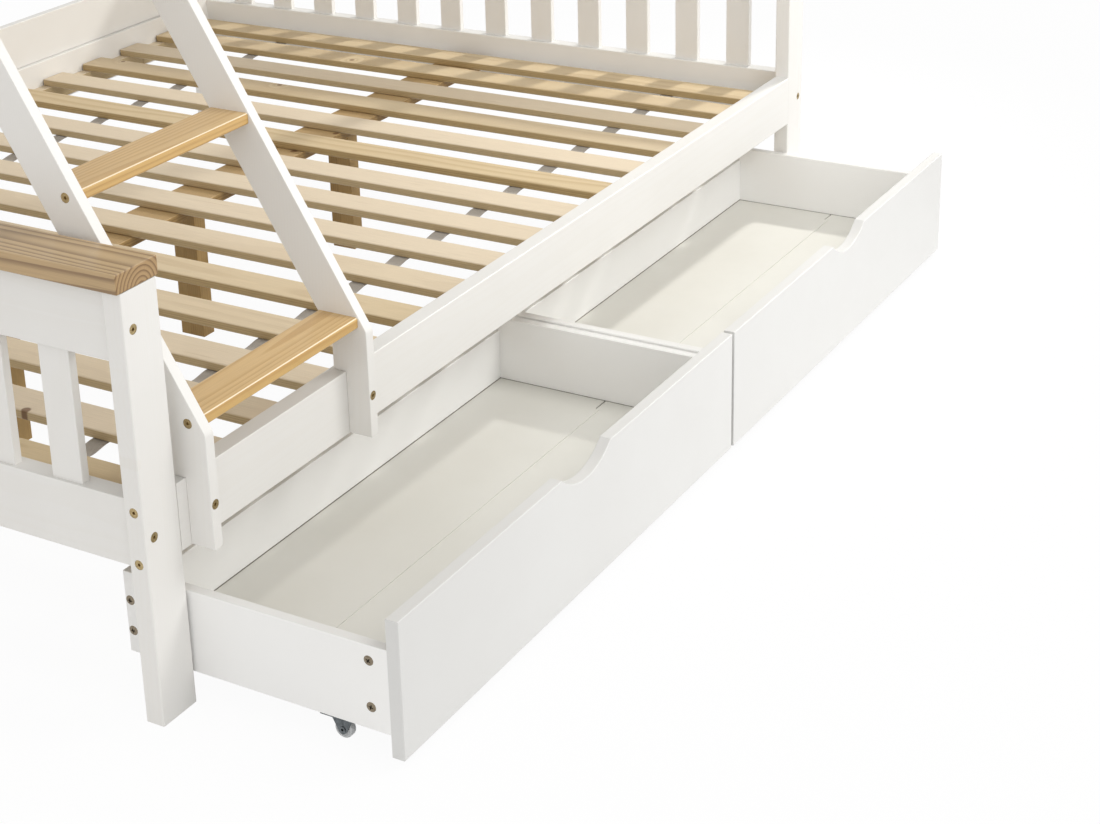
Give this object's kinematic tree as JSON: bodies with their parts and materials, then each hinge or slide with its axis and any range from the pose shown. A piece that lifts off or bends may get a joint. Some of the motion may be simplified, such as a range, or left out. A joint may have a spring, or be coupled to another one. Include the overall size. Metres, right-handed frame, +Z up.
{
  "type": "bunk bed",
  "caption": "Wooden bunk bed, a wide lower bunk under a narrow upper one, with a sloping ladder and rolling drawers under it.",
  "frame": {"origin": "on the floor, at the middle of the floor plan with the drawers as in the picture", "axes": "+X along the bed from the ladder's end, +Y from the front to the wall side, +Z up"},
  "size_m": [2, 1.766, 1.585],
  "materials": {
    "white_paint": "satin white paint",
    "pine": "clear matt lacquer on pine",
    "drawer_board": "white faced board",
    "bolt_steel": "yellow zinc plate",
    "steel": "zinc plate",
    "wheel_plastic": "pale grey",
    "webbing": "woven strap"
  },
  "bodies": {
    "bed_frame": {"lower_post_front_left": "white_paint", "upper_post_front_left": "white_paint", "lower_post_front_right": "white_paint", "upper_post_front_right": "white_paint", "lower_post_back_left": "white_paint", "upper_post_back_left": "white_paint", "lower_post_back_right": "white_paint", "upper_post_back_right": "white_paint", "lower_end_rails_left": "white_paint", "lower_spindles_left": "white_paint", "lower_end_rails_right": "white_paint", "lower_spindles_right": "white_paint", "lower_caps": "pine", "lower_rail_front": "white_paint", "lower_rail_back": "white_paint", "lower_slats": "pine", "upper_end_rails_left": "white_paint", "upper_spindles_left": "white_paint", "upper_end_rails_right": "white_paint", "upper_spindles_right": "white_paint", "upper_caps": "pine", "upper_rail_front": "white_paint", "upper_rail_back": "white_paint", "upper_slats": "pine", "lower_back_guard": "white_paint", "upper_guard_back": "white_paint", "upper_guard_front": "white_paint", "slat_ledges": "pine", "webbing": "webbing", "centre_beam": "pine", "beam_legs": "pine", "ladder_stile_left": "white_paint", "ladder_stile_right": "white_paint", "ladder_tread_1": "pine", "ladder_tread_2": "pine", "ladder_tread_3": "pine", "ladder_tread_4": "pine", "frame_bolts": "bolt_steel", "barrel_nuts": "steel", "stacking_pins": "steel"},
    "drawer_left": {"drawer_left_front": "white_paint", "drawer_left_side_left": "white_paint", "drawer_left_side_right": "white_paint", "drawer_left_back": "white_paint", "drawer_left_floor": "drawer_board", "drawer_left_casters": "steel"},
    "drawer_left_wheel_front_left": {"drawer_left_wheel_front_left": "wheel_plastic"},
    "drawer_left_wheel_front_right": {"drawer_left_wheel_front_right": "wheel_plastic"},
    "drawer_left_wheel_back_left": {"drawer_left_wheel_back_left": "wheel_plastic"},
    "drawer_left_wheel_back_right": {"drawer_left_wheel_back_right": "wheel_plastic"},
    "drawer_right": {"drawer_right_front": "white_paint", "drawer_right_side_left": "white_paint", "drawer_right_side_right": "white_paint", "drawer_right_back": "white_paint", "drawer_right_floor": "drawer_board", "drawer_right_casters": "steel"},
    "drawer_right_wheel_front_left": {"drawer_right_wheel_front_left": "wheel_plastic"},
    "drawer_right_wheel_front_right": {"drawer_right_wheel_front_right": "wheel_plastic"},
    "drawer_right_wheel_back_left": {"drawer_right_wheel_back_left": "wheel_plastic"},
    "drawer_right_wheel_back_right": {"drawer_right_wheel_back_right": "wheel_plastic"}
  },
  "joints": [
    {"name": "drawer_left_slide", "type": "slide", "parent": "bed_frame", "child": "drawer_left", "axis": [0, 1, 0], "range_m": [-0.09, 0.31]},
    {"name": "drawer_left_wheel_front_left_spin", "type": "hinge", "parent": "drawer_left", "child": "drawer_left_wheel_front_left", "pos_m": [-0.903, -0.782, 0.0125], "axis": [1, 0, 0], "continuous": true},
    {"name": "drawer_left_wheel_front_right_spin", "type": "hinge", "parent": "drawer_left", "child": "drawer_left_wheel_front_right", "pos_m": [-0.027, -0.782, 0.0125], "axis": [1, 0, 0], "continuous": true},
    {"name": "drawer_left_wheel_back_left_spin", "type": "hinge", "parent": "drawer_left", "child": "drawer_left_wheel_back_left", "pos_m": [-0.903, -0.513, 0.0125], "axis": [1, 0, 0], "continuous": true},
    {"name": "drawer_left_wheel_back_right_spin", "type": "hinge", "parent": "drawer_left", "child": "drawer_left_wheel_back_right", "pos_m": [-0.027, -0.513, 0.0125], "axis": [1, 0, 0], "continuous": true},
    {"name": "drawer_right_slide", "type": "slide", "parent": "bed_frame", "child": "drawer_right", "axis": [0, 1, 0], "range_m": [-0.09, 0.31]},
    {"name": "drawer_right_wheel_front_left_spin", "type": "hinge", "parent": "drawer_right", "child": "drawer_right_wheel_front_left", "pos_m": [0.027, -0.782, 0.0125], "axis": [1, 0, 0], "continuous": true},
    {"name": "drawer_right_wheel_front_right_spin", "type": "hinge", "parent": "drawer_right", "child": "drawer_right_wheel_front_right", "pos_m": [0.903, -0.782, 0.0125], "axis": [1, 0, 0], "continuous": true},
    {"name": "drawer_right_wheel_back_left_spin", "type": "hinge", "parent": "drawer_right", "child": "drawer_right_wheel_back_left", "pos_m": [0.027, -0.513, 0.0125], "axis": [1, 0, 0], "continuous": true},
    {"name": "drawer_right_wheel_back_right_spin", "type": "hinge", "parent": "drawer_right", "child": "drawer_right_wheel_back_right", "pos_m": [0.903, -0.513, 0.0125], "axis": [1, 0, 0], "continuous": true}
  ],
  "couplings": [
    {"joint": "drawer_left_wheel_front_left_spin", "follows": "drawer_left_slide", "rad_per_m": -80},
    {"joint": "drawer_left_wheel_front_right_spin", "follows": "drawer_left_slide", "rad_per_m": -80},
    {"joint": "drawer_left_wheel_back_left_spin", "follows": "drawer_left_slide", "rad_per_m": -80},
    {"joint": "drawer_left_wheel_back_right_spin", "follows": "drawer_left_slide", "rad_per_m": -80},
    {"joint": "drawer_right_wheel_front_left_spin", "follows": "drawer_right_slide", "rad_per_m": -80},
    {"joint": "drawer_right_wheel_front_right_spin", "follows": "drawer_right_slide", "rad_per_m": -80},
    {"joint": "drawer_right_wheel_back_left_spin", "follows": "drawer_right_slide", "rad_per_m": -80},
    {"joint": "drawer_right_wheel_back_right_spin", "follows": "drawer_right_slide", "rad_per_m": -80}
  ]
}
